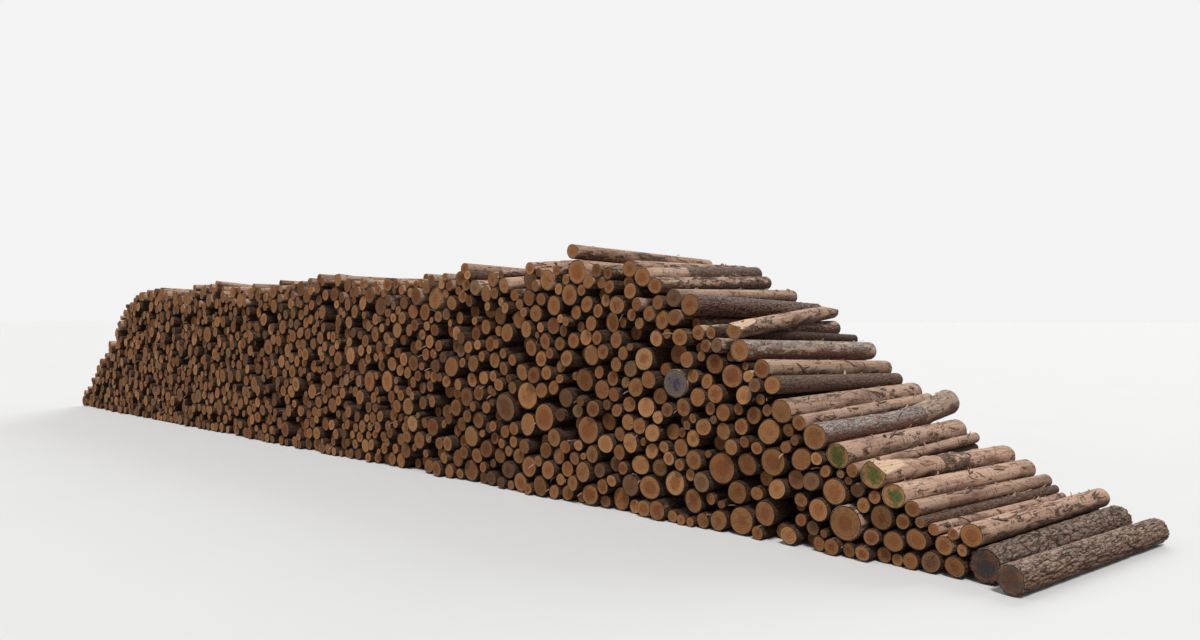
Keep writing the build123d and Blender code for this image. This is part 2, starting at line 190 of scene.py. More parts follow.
def wave_noise(rng, angle, along, waves, turns, lengths):
    """A smooth random relief from -1 to 1 over the log's angle and length."""
    relief = np.zeros(np.broadcast(angle, along).shape)
    total = 0.0
    for _ in range(waves):
        turn = rng.integers(turns[0], turns[1] + 1)
        length = rng.uniform(*lengths)
        weight = rng.uniform(0.4, 1.0)
        phase = rng.uniform(0, TURN)
        drift = rng.choice((-1.0, 1.0)) * TURN / length
        relief += weight * np.sin(turn * angle + drift * along + phase)
        total += weight
    return relief / total


def furrows(rng, angle, along, radius, wide, tall):
    """How near each point of the bark is to a crack between two plates, from 0 to 1."""
    around, length = TURN * radius, along.max()
    count = int(around / wide * length / tall)
    seeds_u = rng.uniform(0, around, count) / wide
    seeds_v = rng.uniform(-tall, length + tall, count) / tall
    wander = WANDER_AROUND * wave_noise(rng, angle, along, *WANDER_WAVES)
    points_u = (angle * radius / wide + wander).ravel()
    points_v = np.broadcast_to(along / tall, wander.shape).ravel() + WANDER_ALONG * wander.ravel()
    across = np.abs(points_u[:, None] - seeds_u)
    across = np.minimum(across, around / wide - across)
    gaps = np.sqrt(across ** 2 + (points_v[:, None] - seeds_v) ** 2)
    nearest = np.partition(gaps, 1, axis=1)[:, :2]
    edge = nearest[:, 1] - nearest[:, 0]
    return np.clip(1 - edge / CRACK_WIDTH, 0, 1).reshape(wander.shape)


def clip_to_facets(vertices, along, log, length, facets):
    """Moves what stands proud of a hewn face onto it, and says which points lie there."""
    hewn = np.zeros(len(vertices))
    for at_back, run, depth, facing in facets:
        way = np.array([math.cos(math.radians(facing)), 0.0, math.sin(math.radians(facing))])
        from_end = length - along if at_back else along
        end = -1 if at_back else 0
        plane = log["radii"][end] - depth + depth * from_end / run
        over = (vertices - log["centres"][end]) @ way - plane
        cut = (over > 0) & (from_end < run * FACET_REACH)
        vertices[cut] -= over[cut, None] * way
        hewn[cut] = 1.0
    return hewn


def log_course(log, steps):
    """The broken edge's width, and each row's place along, centre, radius, axis and two cross directions."""
    centres, radii = log["centres"], log["radii"]
    runs = np.concatenate([[0], np.cumsum(np.linalg.norm(np.diff(centres, axis=0), axis=1))])
    edge = min(EDGE, EDGE_SHARE * radii.min())
    along = np.concatenate([[0.0], np.linspace(edge, runs[-1] - edge, steps), [runs[-1]]])
    centre, axis = (np.column_stack([np.interp(along, runs, column) for column in values.T])
                    for values in (centres, log["axes"]))
    axis = unit(axis)
    across = unit(np.cross(axis, UP))
    return edge, along, centre, np.interp(along, runs, radii), axis, across, np.cross(across, axis)


def surface_relief(log, look, lobes, angle, along, radius, rng):
    """How deep the surface lies, as a share of the radius, and how near it is to a crack in the bark."""
    thick = log["radii"].mean()
    relief = lobes * dent(wave_noise(rng, angle, along, *LOBE_WAVES))
    relief += look["oval"] * dent(np.cos(2 * (angle - rng.uniform(0, math.pi))))
    if "rough" in look:
        relief += look["rough"] * dent(wave_noise(rng, angle, along, *ROUGH_WAVES))
    crack = np.zeros(relief.shape)
    if "plates" in look:
        crack = furrows(rng, angle, along, thick, *look["plates"])
        crest = dent(wave_noise(rng, angle, along, *CREST_WAVES))
        relief += (look["deep"] * crack + CREST * look["deep"] * crest) / radius
    for middle, facing, size, height in look.get("burls", []):
        turn = (angle - math.radians(facing) + math.pi) % TURN - math.pi
        reach = ((along - middle) ** 2 + (thick * turn) ** 2) / size ** 2
        relief -= height / thick * np.exp(-reach)
    return relief, crack


def tube_faces(sides, rows):
    """The four-sided faces between the rows of points of a tube."""
    start = np.arange(sides)
    nxt = (start + 1) % sides
    return np.concatenate([np.column_stack([row + start, row + sides + start, row + sides + nxt, row + nxt])
                           for row in np.arange(rows - 1) * sides])


def skin(log, detail, look, rng):
    """The vertices, faces and per-vertex data of one log with its two sawn ends."""
    sides, steps, lobes = detail
    edge, along, centre, radius, axis, across, upward = log_course(log, steps)
    angle = np.linspace(0, TURN, sides, endpoint=False)
    cosine, sine = np.cos(angle), np.sin(angle)
    relief, crack = surface_relief(log, look, lobes, angle[None, :], along[:, None], radius[:, None], rng)
    grown = radius[:, None] * (1 - relief)
    grown[[0, -1]] -= edge * EDGE_DROP

    def ring(radii, row):
        """The points at these radii round one row, and the same in the log's own directions."""
        points = centre[row] + radii[:, None] * (cosine[:, None] * across[row] + sine[:, None] * upward[row])
        return points, np.column_stack([radii * cosine, radii * sine, np.full(sides, along[row])])

    rows, grain = (list(part) for part in zip(*[ring(grown[row], row) for row in range(len(along))]))
    share = [0.5 + 0.5 * sine for _ in along]
    share[0] = share[-1] = np.ones(sides)
    marked = list(crack)

    start = np.arange(sides)
    nxt = (start + 1) % sides
    quads, fans = [], []
    count = len(along) * sides
    for row, sense in ((0, 1), (len(along) - 1, -1)):
        inward = axis[row] * sense
        tilt, way = rng.uniform(0.0, END_TILT) * radius[row], rng.uniform(0, TURN)
        painted = look.get("paint", 0.0) if row == 0 else 0.0
        rows[row] = rows[row] + (tilt * (1 + np.cos(angle - way)))[:, None] * inward
        marked[row] = np.full(sides, painted)
        outer = row * sides
        for part in END_RINGS:
            push = tilt * (1 + part * np.cos(angle - way)) + rng.uniform(*SAW_MARKS, sides)
            points, places = ring(grown[row] * part, row)
            rows.append(points + push[:, None] * inward)
            grain.append(places)
            share.append(np.full(sides, part))
            marked.append(np.full(sides, painted))
            quad = np.column_stack([outer + start, outer + nxt, count + nxt, count + start])
            quads.append(quad[:, ::sense])
            outer = count
            count += sides
        rows.append((centre[row] + tilt * inward)[None, :])
        grain.append(np.array([[0.0, 0.0, along[row]]]))
        share.append(np.zeros(1))
        marked.append(np.full(1, painted))
        fan = np.column_stack([outer + start, outer + nxt, np.full(sides, count)])
        fans.append(fan[:, ::sense])
        count += 1

    vertices, grain, share, marked = (np.concatenate(part) for part in (rows, grain, share, marked))
    far = grain[:, 2]
    mark = np.column_stack([marked, np.zeros(count), np.zeros(count)])
    for first, last in look.get("dimples", []):
        fade_in = np.clip((far - first) / DIMPLE_FADE, 0, 1)
        mark[:, 1] += fade_in * np.clip((last - far) / DIMPLE_FADE, 0, 1)
    if "facets" in look:
        mark[:, 2] = clip_to_facets(vertices, far, log, along[-1], look["facets"])
    kind = np.tile([look["bark"], look["tone"], look["seed"]], (count, 1))
    for first, last, amount in look.get("bark_runs", []):
        kind[(far >= first) & (far < last), 0] = amount
    return {"vertices": vertices, "grain": grain, "share": share, "mark": mark, "kind": kind,
            "sides": tube_faces(sides, len(along)), "quads": np.concatenate(quads),
            "fans": np.concatenate(fans), "slots": look["slots"]}


def merge(name, skins, materials):
    """One Blender object from several log skins, with their shading data."""
    mesh = bpy.data.meshes.new(name)
    vertices = np.concatenate([s["vertices"] for s in skins])
    offsets = np.cumsum([0] + [len(s["vertices"]) for s in skins[:-1]])
    side, quads, fans = (np.concatenate([s[part] + o for s, o in zip(skins, offsets)])
                         for part in FACE_PARTS)
    loops = np.concatenate([side.ravel(), quads.ravel(), fans.ravel()])
    sizes = np.concatenate([np.full(len(side) + len(quads), 4), np.full(len(fans), 3)])
    starts = np.concatenate([[0], np.cumsum(sizes)[:-1]])
    mesh.vertices.add(len(vertices))
    mesh.vertices.foreach_set("co", vertices.astype(np.float32).ravel())
    mesh.loops.add(len(loops))
    mesh.loops.foreach_set("vertex_index", loops.astype(np.int32))
    mesh.polygons.add(len(sizes))
    mesh.polygons.foreach_set("loop_start", starts.astype(np.int32))
    mesh.polygons.foreach_set("loop_total", sizes.astype(np.int32))
    slots = np.concatenate([np.full(len(s[part]), s["slots"][0 if part == "sides" else 1])
                            for part in FACE_PARTS for s in skins])
    mesh.polygons.foreach_set("material_index", slots.astype(np.int32))
    mesh.polygons.foreach_set("use_smooth", np.arange(len(sizes)) < len(side))
    mesh.update(calc_edges=True)
    mesh.validate()
    for field, kind, value in (("grain", "FLOAT_VECTOR", "vector"), ("kind", "FLOAT_VECTOR", "vector"),
                               ("mark", "FLOAT_VECTOR", "vector"), ("share", "FLOAT", "value")):
        attribute = mesh.attributes.new(field, kind, "POINT")
        values = np.concatenate([s[field] for s in skins])
        attribute.data.foreach_set(value, values.astype(np.float32).ravel())
    for material in materials:
        mesh.materials.append(material)
    piece = bpy.data.objects.new(name, mesh)
    bpy.context.scene.collection.objects.link(piece)
    return piece


# Materials

class Nodes:
    """Short names for the shader nodes of one material or world."""

    def __init__(self, owner, shader="Principled BSDF"):
        owner.use_nodes = True
        self.owner = owner
        self.tree = owner.node_tree
        self.shader = self.tree.nodes[shader]

    def plug(self, socket, value):
        """Links the value to the socket, or sets it there if it is a constant."""
        if isinstance(value, bpy.types.NodeSocket):
            self.tree.links.new(value, socket)
        else:
            socket.default_value = value

    def finish(self, **values):
        """Sets the shader's inputs, named with _ for a space, and gives the material back."""
        for name, value in values.items():
            self.plug(self.shader.inputs[name.replace("_", " ")], value)
        return self.owner

    def source(self, kind):
        return self.tree.nodes.new(kind).outputs

    def attribute(self, name, output="Vector"):
        node = self.tree.nodes.new("ShaderNodeAttribute")
        node.attribute_name = name
        return node.outputs[output]

    def operate(self, kind, operation, values, output=0):
        node = self.tree.nodes.new(kind)
        node.operation = operation
        for socket, value in zip(node.inputs, values):
            self.plug(socket, value)
        return node.outputs[output]

    def math(self, operation, *values):
        return self.operate("ShaderNodeMath", operation, values)

    def plus(self, a, b):
        return self.math("ADD", a, b)

    def minus(self, a, b):
        return self.math("SUBTRACT", a, b)

    def times(self, a, b):
        return self.math("MULTIPLY", a, b)

    def shift(self, vector, by):
        return self.operate("ShaderNodeVectorMath", "ADD", (vector, by))

    def stretch(self, vector, factors):
        return self.operate("ShaderNodeVectorMath", "MULTIPLY", (vector, factors))

    def split(self, vector):
        node = self.tree.nodes.new("ShaderNodeSeparateXYZ")
        self.plug(node.inputs[0], vector)
        return node.outputs

    def join(self, x, y, z):
        node = self.tree.nodes.new("ShaderNodeCombineXYZ")
        for socket, value in zip(node.inputs, (x, y, z)):
            self.plug(socket, value)
        return node.outputs[0]

    def noise(self, vector, scale=1.0, detail=4.0, rough=0.55, warp=0.0):
        node = self.tree.nodes.new("ShaderNodeTexNoise")
        for name, value in (("Vector", vector), ("Scale", scale), ("Detail", detail), ("Roughness", rough),
                            ("Distortion", warp)):
            self.plug(node.inputs[name], value)
        return node.outputs[0]

    def cells(self, vector, feature="F1", jitter=1.0):
        node = self.tree.nodes.new("ShaderNodeTexVoronoi")
        node.feature = feature
        for name, value in (("Vector", vector), ("Scale", 1.0), ("Randomness", jitter)):
            self.plug(node.inputs[name], value)
        return node.outputs["Distance"]

    def step(self, value, low, high, out_low, out_high):
        """A smooth change from out_low at low to out_high at high."""
        node = self.tree.nodes.new("ShaderNodeMapRange")
        node.interpolation_type = "SMOOTHSTEP"
        for socket, item in zip(node.inputs, (value, low, high, out_low, out_high)):
            self.plug(socket, item)
        return node.outputs[0]

    def rise(self, value, low, high, strength=1.0):
        return self.step(value, low, high, 0.0, strength)

    def fall(self, value, low, high, strength=1.0):
        return self.step(value, low, high, strength, 0.0)

    def ramp(self, value, stops):
        node = self.tree.nodes.new("ShaderNodeValToRGB")
        self.plug(node.inputs[0], value)
        elements = node.color_ramp.elements
        while len(elements) < len(stops):
            elements.new(0.5)
        for element, (place, colour) in zip(elements, stops):
            element.position = place
            element.color = (*colour, 1.0)
        return node.outputs[0]

    def mix(self, share, a, b, blend="MIX"):
        node = self.tree.nodes.new("ShaderNodeMix")
        node.data_type = "RGBA"
        node.blend_type = blend
        self.plug(node.inputs["Factor"], share)
        for name, value in (("A", a), ("B", b)):
            socket = [s for s in node.inputs if s.name == name and s.type == "RGBA"][0]
            self.plug(socket, (*value, 1.0) if isinstance(value, tuple) else value)
        return [s for s in node.outputs if s.type == "RGBA"][0]

    def bump(self, height, strength, distance):
        node = self.tree.nodes.new("ShaderNodeBump")
        for name, value in (("Height", height), ("Strength", strength), ("Distance", distance)):
            self.plug(node.inputs[name], value)
        return node.outputs[0]


# How far apart the patterns of two logs lie, for seeds one apart
SEED_SHIFT = (31.7, 17.3, 53.1)

# The noises on a log's side: repeats in a metre across the log, across and along it, detail, roughness, warp
SIDE_NOISES = {
    "fibre": ((85, 85, 2.0), 5, 0.65, 0.0),
    "cloud": ((9, 9, 2.4), 5, 0.6, 0.0),
    "whorl": ((13, 13, 50), 4, 0.65, 0.3),
    "fleck": ((70, 70, 30), 3, 0.6, 0.0),
    "patch": ((23, 23, 6.5), 8, 0.66, 0.5),
    "scale": ((60, 60, 22), 6, 0.75, 0.0),
    "flake": ((26, 26, 9), 4, 0.6, 0.0),
    "slash": ((34, 34, 16), 2, 0.4, 0.0),
}
DOTS = (58, 58, 40)
PLATE_STRETCH = 0.34
FRESH_WOOD = ((0.70, 0.53, 0.38), (0.55, 0.38, 0.25))
SIDE_TONES = [(0.0, (0.72, 0.70, 0.70)), (0.5, (0.95, 0.92, 0.90)), (1.0, (1.12, 1.08, 1.06))]
END_TONES = [(0.0, (0.58, 0.53, 0.51)), (0.3, (0.86, 0.81, 0.78)), (0.8, (1.12, 1.08, 1.03)),
             (1.0, (1.5, 1.52, 1.5))]

# What a log's seed is multiplied by for each thing that differs from one end to the next
LOTTERY = {"pith_x": 61.0, "pith_y": 97.0, "heart_size": 13.0, "heart_depth": 29.0, "yellow": 41.0,
           "pale_rim": 53.0, "blue_stain": 71.0, "crack": 37.0}
PITH_OFFSET = 0.022        # how far the pith may lie from the middle, and the rings' waver
RING_WAVER = 0.018
RINGS, BROAD_RINGS, SAW_LINES = 1500.0, 330.0, 260.0    # radians in a metre
YELLOW_SAP, PALE_SAP = (1.08, 1.26, 1.3), (1.25, 1.35, 1.45)
BLUE_STAIN, SOOT = (0.15, 0.115, 0.09), (0.07, 0.065, 0.066)
PAINT_EDGE = 0.13          # how softly a blotch ends
SIDE_ROUGHNESS, END_ROUGHNESS, FLOOR_ROUGHNESS = 0.8, 0.85, 0.9
SHEEN = 0.15               # rough wood and bark reflect little
SIDE_RELIEF, END_RELIEF = 0.005, 0.002


def dim(colour, factor):
    """The colour made darker by a factor."""
    return tuple(factor * part for part in colour)


def tint(colour, factors):
    """The colour with each channel multiplied by its factor."""
    return tuple(part * factor for part, factor in zip(colour, factors))


def log_data(n):
    """The place in the log's own directions, the same moved apart for each log, and bark, tone and seed."""
    grain = n.attribute("grain")
    bark, tone, seed = n.split(n.attribute("kind"))
    apart = n.join(*[n.times(seed, factor) for factor in SEED_SHIFT])
    return grain, n.shift(grain, apart), bark, tone, seed


def side_material(name, wood_colours, bark_colours, plates, red_underside_shade=0.0):
    """The rounded side of a log: peeled wood, and what is left of the bark."""
    n = Nodes(bpy.data.materials.new(name))
    pale, wood, dark = wood_colours
    bark_light, bark_dark, bark_red = bark_colours
    _, place, bark, tone, _ = log_data(n)
    crack, dimple, hewn = n.split(n.attribute("mark"))
    upness = n.attribute("share", "Fac")
    # Painted shade: darker towards the log's underside
    painted_underside_shade = n.fall(upness, 0.15, 0.75, 0.16)
    fibre, cloud, whorl, fleck, patch, scale, flake, slash = (
        n.noise(n.stretch(place, repeats), 1.0, detail, rough, warp)
        for repeats, detail, rough, warp in SIDE_NOISES.values())

    # Peeled wood: fibres, grey clouds that grow towards the underside as painted shade, knots in whorls and
    # flecks of bast
    wood_colour = n.mix(n.rise(fibre, 0.36, 0.66), pale, wood)
    wood_colour = n.mix(n.rise(n.plus(cloud, painted_underside_shade), 0.47, 0.72, 0.8), wood_colour, dark)
    wood_colour = n.mix(n.rise(whorl, 0.605, 0.64, 0.9), wood_colour, bark_dark)
    wood_colour = n.mix(n.rise(fleck, 0.6, 0.68, 0.8), wood_colour, dim(dark, 0.5))

    # Where bark is left: more of it underneath, which darkens the underside as painted shade, and none on a
    # hewn face
    level = n.minus(0.76, n.times(bark, 0.5))
    mask = n.rise(n.minus(n.plus(patch, n.times(painted_underside_shade, 0.4)), level), -0.01, 0.015)
    mask = n.times(mask, n.minus(1.0, hewn))

    # Bark: scales, redder flakes, painted shade below the top, and dark lines between plates and in the
    # furrows
    plate = n.cells(n.stretch(place, (plates, plates, plates * PLATE_STRETCH)), "DISTANCE_TO_EDGE")
    bark_colour = n.mix(n.rise(scale, 0.34, 0.62), bark_dark, bark_light)
    bark_colour = n.mix(n.rise(flake, 0.5, 0.68, 0.8), bark_colour, bark_red)
    turned_up = n.plus(upness, n.times(flake, 0.5))
    # Painted shade: redder and darker bark below the top
    bark_colour = n.mix(n.fall(turned_up, 0.75, 1.0, red_underside_shade), bark_colour, bark_red)
    # Dark between plates and in the furrows: partly the bark's own colour, partly painted shade
    bark_colour = n.mix(n.fall(plate, 0.0, 0.07, 0.8), bark_colour, dim(bark_dark, 0.4))
    bark_colour = n.mix(n.rise(crack, 0.25, 0.9, 0.92), bark_colour, dim(bark_dark, 0.35))
    colour = n.mix(mask, wood_colour, bark_colour)

    # Hewn faces, and the pits of a debarking machine
    fresh = n.mix(n.rise(fibre, 0.34, 0.62), *FRESH_WOOD)
    fresh = n.mix(n.rise(slash, 0.64, 0.68, 0.85), fresh, bark_dark)
    colour = n.mix(hewn, colour, fresh)
    pits = n.times(n.fall(n.cells(n.stretch(place, DOTS), jitter=0.25), 0.2, 0.36), dimple)
    colour = n.mix(n.times(pits, 0.75), colour, dark)
    colour = n.mix(1.0, colour, n.ramp(tone, SIDE_TONES), "MULTIPLY")

    height = n.plus(n.times(mask, 0.7), n.times(fibre, 0.25))
    height = n.plus(height, n.times(n.times(n.rise(plate, 0.0, 0.25), mask), 0.4))
    height = n.plus(height, n.times(n.times(scale, mask), 0.9))
    height = n.minus(height, n.times(pits, 0.6))
    return n.finish(Base_Color=colour, Roughness=SIDE_ROUGHNESS, Specular_IOR_Level=SHEEN,
                    Normal=n.bump(height, 1.0, SIDE_RELIEF))


def paint_over(n, colour, flat, share, painted, paint):
    """The colour under a shapeless blotch of paint, and under a thinner second one if there is one."""
    spray = n.noise(n.shift(flat, n.join(0.3, 0.0, 0.0)), 17, 5, 0.6, 0.6)
    thin = n.noise(n.shift(flat, n.join(0.0, 0.7, 0.0)), 70, 4, 0.7)
    reach = n.plus(spray, n.times(share, -0.32))
    blotch = n.times(n.rise(reach, paint["from"], paint["from"] + PAINT_EDGE), painted)
    colour = n.mix(n.times(blotch, n.step(thin, 0.34, 0.6, 0.45, 0.95)), colour, paint["colour"])
    if "second" in paint:
        smear = n.times(n.rise(n.noise(flat, 13, 5, 0.6, 0.5), 0.55, 0.62), painted)
        colour = n.mix(n.times(smear, 0.6), colour, paint["second"])
    return colour


def end_material(name, sap, heart, ring_dark, paint=None, stain=0.0):
    """A sawn end: sapwood, redder heartwood, growth rings, cracks and a bark rim."""
    n = Nodes(bpy.data.materials.new(name))
    grain, _, _, tone, seed = log_data(n)
    x, y, _ = n.split(grain)
    share = n.attribute("share", "Fac")
    painted, _, _ = n.split(n.attribute("mark"))
    lot = {thing: n.math("FRACT", n.times(seed, factor)) for thing, factor in LOTTERY.items()}

    # Distance and direction from the pith
    pith_x, pith_y = (n.times(n.minus(lot[thing], 0.5), PITH_OFFSET) for thing in ("pith_x", "pith_y"))
    out = n.join(n.plus(x, pith_x), n.plus(y, pith_y), 0.0)
    spoke = n.operate("ShaderNodeVectorMath", "NORMALIZE", (out,))
    flat = n.join(x, y, n.times(seed, 91.0))
    warp = n.noise(flat, 14, 3)
    from_pith = n.operate("ShaderNodeVectorMath", "LENGTH", (out,), "Value")
    from_pith = n.plus(from_pith, n.times(warp, RING_WAVER))

    # Sapwood, heartwood, rings and a paler rim
    heart_edge = n.plus(share, n.times(n.minus(warp, 0.5), 0.4))
    heart_edge = n.minus(heart_edge, n.plus(0.36, n.times(lot["heart_size"], 0.34)))
    heartness = n.times(n.fall(heart_edge, -0.16, 0.1), n.plus(0.25, n.times(lot["heart_depth"], 0.75)))
    rings = n.math("SINE", n.times(from_pith, RINGS))
    broad = n.math("SINE", n.plus(n.times(from_pith, BROAD_RINGS), n.times(seed, 6.0)))
    colour = n.mix(heartness, n.mix(lot["yellow"], sap, tint(sap, YELLOW_SAP)), heart)
    colour = n.mix(n.rise(broad, 0.2, 1.0, 0.45), colour, ring_dark)
    colour = n.mix(n.rise(rings, 0.0, 1.0, 0.3), colour, ring_dark)
    pale_rim = n.times(n.rise(share, 0.8, 0.9), n.times(lot["pale_rim"], 0.6))
    colour = n.mix(pale_rim, colour, tint(sap, PALE_SAP))

    # Blue stain in wedges, darker blotches and drying cracks
    wedge = n.noise(n.shift(spoke, n.join(seed, seed, n.times(seed, 40.0))), 1.6, 3)
    blue = n.times(n.rise(wedge, 0.52, 0.66), n.rise(share, 0.45, 0.8))
    blue = n.times(blue, n.times(n.rise(lot["blue_stain"], 0.5, 0.9), 0.55))
    colour = n.mix(blue, colour, BLUE_STAIN)
    blotch = n.noise(flat, 24, 6, 0.65)
    colour = n.mix(n.rise(blotch, 0.5, 0.72, 0.55), colour, dim(heart, 0.5))
    ray = n.noise(n.shift(spoke, n.join(n.times(seed, 19.0), 0.0, seed)), 2.3, 2)
    crack = n.fall(n.math("ABSOLUTE", n.minus(ray, 0.5)), 0.003, 0.012)
    crack = n.times(crack, n.fall(share, 0.55, 0.8))
    crack = n.times(crack, n.rise(lot["crack"], 0.45, 0.6))
    colour = n.mix(n.times(crack, 0.8), colour, dim(ring_dark, 0.3))
    if stain:
        colour = n.mix(n.rise(n.noise(flat, 9, 5, 0.6), 0.38, 0.62, stain), colour, SOOT)
    if paint:
        colour = paint_over(n, colour, flat, share, painted, paint)
    colour = n.mix(n.rise(share, 0.935, 0.965), colour, RIM)
    colour = n.mix(1.0, colour, n.ramp(tone, END_TONES), "MULTIPLY")

    # Rings, saw lines and cracks in relief
    saw_turn = n.times(seed, 57.0)
    saw = n.plus(n.times(x, n.math("COSINE", saw_turn)), n.times(y, n.math("SINE", saw_turn)))
    saw_lines = n.noise(n.join(n.times(saw, SAW_LINES), seed, 0.0), detail=2)
    height = n.plus(n.times(rings, 0.2), n.times(saw_lines, 1.2))
    height = n.minus(n.plus(height, n.times(blotch, 0.5)), crack)
    return n.finish(Base_Color=colour, Roughness=END_ROUGHNESS, Specular_IOR_Level=SHEEN,
                    Normal=n.bump(height, 0.6, END_RELIEF))


# Wood as pale, middle and dark; bark as light, dark and red
WOOD = ((0.56, 0.40, 0.30), (0.40, 0.245, 0.17), (0.165, 0.085, 0.056))
# Painted shade: darker copies of the wood and bark for the logs inside the stack
SHADED_INNER_WOOD = ((0.19, 0.12, 0.084), (0.13, 0.075, 0.05), (0.06, 0.032, 0.021))
GREY_WOOD = ((0.52, 0.41, 0.33), (0.35, 0.25, 0.19), (0.15, 0.085, 0.062))
BARK = ((0.21, 0.145, 0.11), (0.042, 0.026, 0.020), (0.19, 0.09, 0.055))
THICK_BARK = ((0.44, 0.33, 0.26), (0.075, 0.048, 0.036), (0.25, 0.135, 0.092))
BROWN_BARK = ((0.19, 0.125, 0.092), (0.05, 0.032, 0.025), (0.15, 0.075, 0.048))
# Painted shade: darker bark for the logs inside the stack
SHADED_INNER_BARK = ((0.098, 0.059, 0.039), (0.024, 0.0145, 0.010), (0.085, 0.038, 0.022))
GREY_BARK = ((0.45, 0.40, 0.37), (0.10, 0.075, 0.065), (0.17, 0.075, 0.05))
SCALY_BARK = ((0.36, 0.26, 0.21), (0.085, 0.055, 0.043), (0.24, 0.12, 0.085))
# Ends as sapwood, heartwood and the dark of the rings
END = ((0.38, 0.178, 0.074), (0.285, 0.102, 0.043), (0.19, 0.070, 0.030))
DULL_END = ((0.25, 0.135, 0.07), (0.19, 0.085, 0.042), (0.13, 0.06, 0.032))
STAINED_END = ((0.24, 0.14, 0.09), (0.19, 0.09, 0.055), (0.12, 0.06, 0.04))
BLOTCHED_END = ((0.26, 0.135, 0.072), (0.20, 0.09, 0.05), (0.12, 0.055, 0.035))
BLUE_END = ((0.20, 0.155, 0.135), (0.235, 0.115, 0.07), (0.12, 0.08, 0.062))
RIM = (0.035, 0.021, 0.015)
# Paints, and the noise level from which they cover
GREEN_PAINT = {"colour": (0.032, 0.105, 0.026), "from": 0.22}
BLUE_PAINT = {"colour": (0.035, 0.055, 0.14), "from": 0.31, "second": (0.15, 0.14, 0.145)}
SLATE_PAINT = {"colour": (0.062, 0.072, 0.088), "from": 0.2}

peeled = side_material("peeled_side", WOOD, BARK, plates=38.0)
barked = side_material("barked_side", WOOD, THICK_BARK, plates=34.0, red_underside_shade=0.5)
brown_bark = side_material("brown_bark_side", WOOD, BROWN_BARK, plates=34.0)
# Painted shade: the side of the logs inside the stack, a dark copy of the peeled side
shaded_inner = side_material("shaded_inner_side", SHADED_INNER_WOOD, SHADED_INNER_BARK, plates=34.0)
grey = side_material("grey_side", GREY_WOOD, GREY_BARK, plates=46.0, red_underside_shade=0.9)
scaly = side_material("scaly_side", WOOD, SCALY_BARK, plates=42.0, red_underside_shade=0.5)
sawn = end_material("sawn_end", *END)
green_end = end_material("green_marked_end", *END, paint=GREEN_PAINT)
blue_end = end_material("blue_marked_end", *BLUE_END, paint=BLUE_PAINT)
stained_end = end_material("stained_end", *STAINED_END, stain=0.7)
blotched_end = end_material("blotched_end", *BLOTCHED_END, paint=SLATE_PAINT)
dull_end = end_material("dull_end", *DULL_END)

# How each log is dressed

# Points round the log, rows along it, and depth of its lobes as a share of its radius
BARKED_DETAIL = (96, 190, 0.03)
HEWN_DETAIL = (84, 140, 0.03)
SWEPT_DETAIL = (72, 110, 0.03)
SINGLE_DETAIL = (44, 50, 0.03)
NEAR_TOP_DETAIL, FAR_TOP_DETAIL = (32, 30, 0.035), (22, 10, 0.045)
NEAR_DETAIL, FAR_DETAIL = (22, 5, 0.05), (16, 4, 0.055)
NEAR_TOP_X, NEAR_X = 3.0, 3.5

# What the logs that stand out have of their own:
# bark is how much of it is left, all of it from 1 up, and tone goes from dark 0 to light 1;
# plates holds the width and length of the bark's plates, and deep their depth;
# bark_runs holds from, to and bark, and dimples from and to, along the log;
# facets holds whether at the back end, length, depth, and facing in degrees;
# burls holds place along, facing in degrees, size and height
BARKED = {"slot": "barked_log", "side": barked, "detail": BARKED_DETAIL, "bark": 1.5, "plates": (0.022, 0.15),
          "deep": 0.010, "oval": 0.03, "rough": 0.05}
GREEN = {"slot": "marked_log", "end": green_end, "paint": 1.0}
SPECIAL = {
    "outer_bark_log": {**BARKED, "end": stained_end, "tone": 0.75},
    "second_bark_log": {**BARKED, "end": blotched_end, "paint": 1.0, "plates": (0.026, 0.12), "tone": 0.2},
    "scaly_bark_log": {**BARKED, "side": scaly, "bark": 0.8, "plates": (0.022, 0.05), "deep": 0.005,
                       "tone": 0.35},
    "third_loose_log": {"bark": 0.42, "tone": 0.85},
    "thickest_log": {"bark": 0.4, "tone": 0.35},
    "marked_log": {**GREEN, "bark": 0.35, "tone": 0.6},
    "low_marked_log": {**GREEN, "bark": 0.3, "tone": 0.95},
    "flared_butt_log": {**GREEN, "detail": HEWN_DETAIL, "rough": 0.1, "bark": 0.3, "tone": 0.85, "oval": 0.02,
                        "bark_runs": [(0.85, 1.3, 0.62)], "dimples": [(1.3, 2.1)],
                        "facets": [(False, 0.250, 0.030, 52.0), (False, 0.62, 0.038, 58.0)],
                        "burls": [(0.98, 60, 0.05, 0.016), (1.2, 35, 0.045, 0.014), (0.7, 80, 0.05, 0.010),
                                  (1.12, 110, 0.04, 0.012), (0.55, 40, 0.035, 0.008)]},
    "swept_butt_log": {"side": grey, "detail": SWEPT_DETAIL, "bark": 0.66, "rough": 0.05, "oval": 0.02,
                       "bark_runs": [(1.5, 2.1, 0.36)], "dimples": [(1.5, 1.95)], "tone": 0.65,
                       "burls": [(1.3, 80, 0.05, 0.008)]},
    "lichen_log": {"side": grey, "bark": 0.5, "tone": 0.85, "rough": 0.02},
    "split_log": {"detail": HEWN_DETAIL, "bark": 0.4, "oval": 0.02, "rough": 0.04, "tone": 0.75,
                  "facets": [(False, 0.320, 0.034, 66.0), (True, 0.420, 0.038, 78.0)]},
    "blue_marked_log": {"slot": "marked_log", "end": blue_end, "paint": 1.0, "tone": 0.5},
    "crown_log_1": {"bark": 0.3, "bark_runs": [(0.62, 2.1, 0.85)], "tone": 0.8},
    "crown_log_2": {"bark": 0.45, "tone": 0.6},
    "crown_log_3": {"bark": 0.4, "dimples": [(0.4, 1.7)], "tone": 0.7},
}
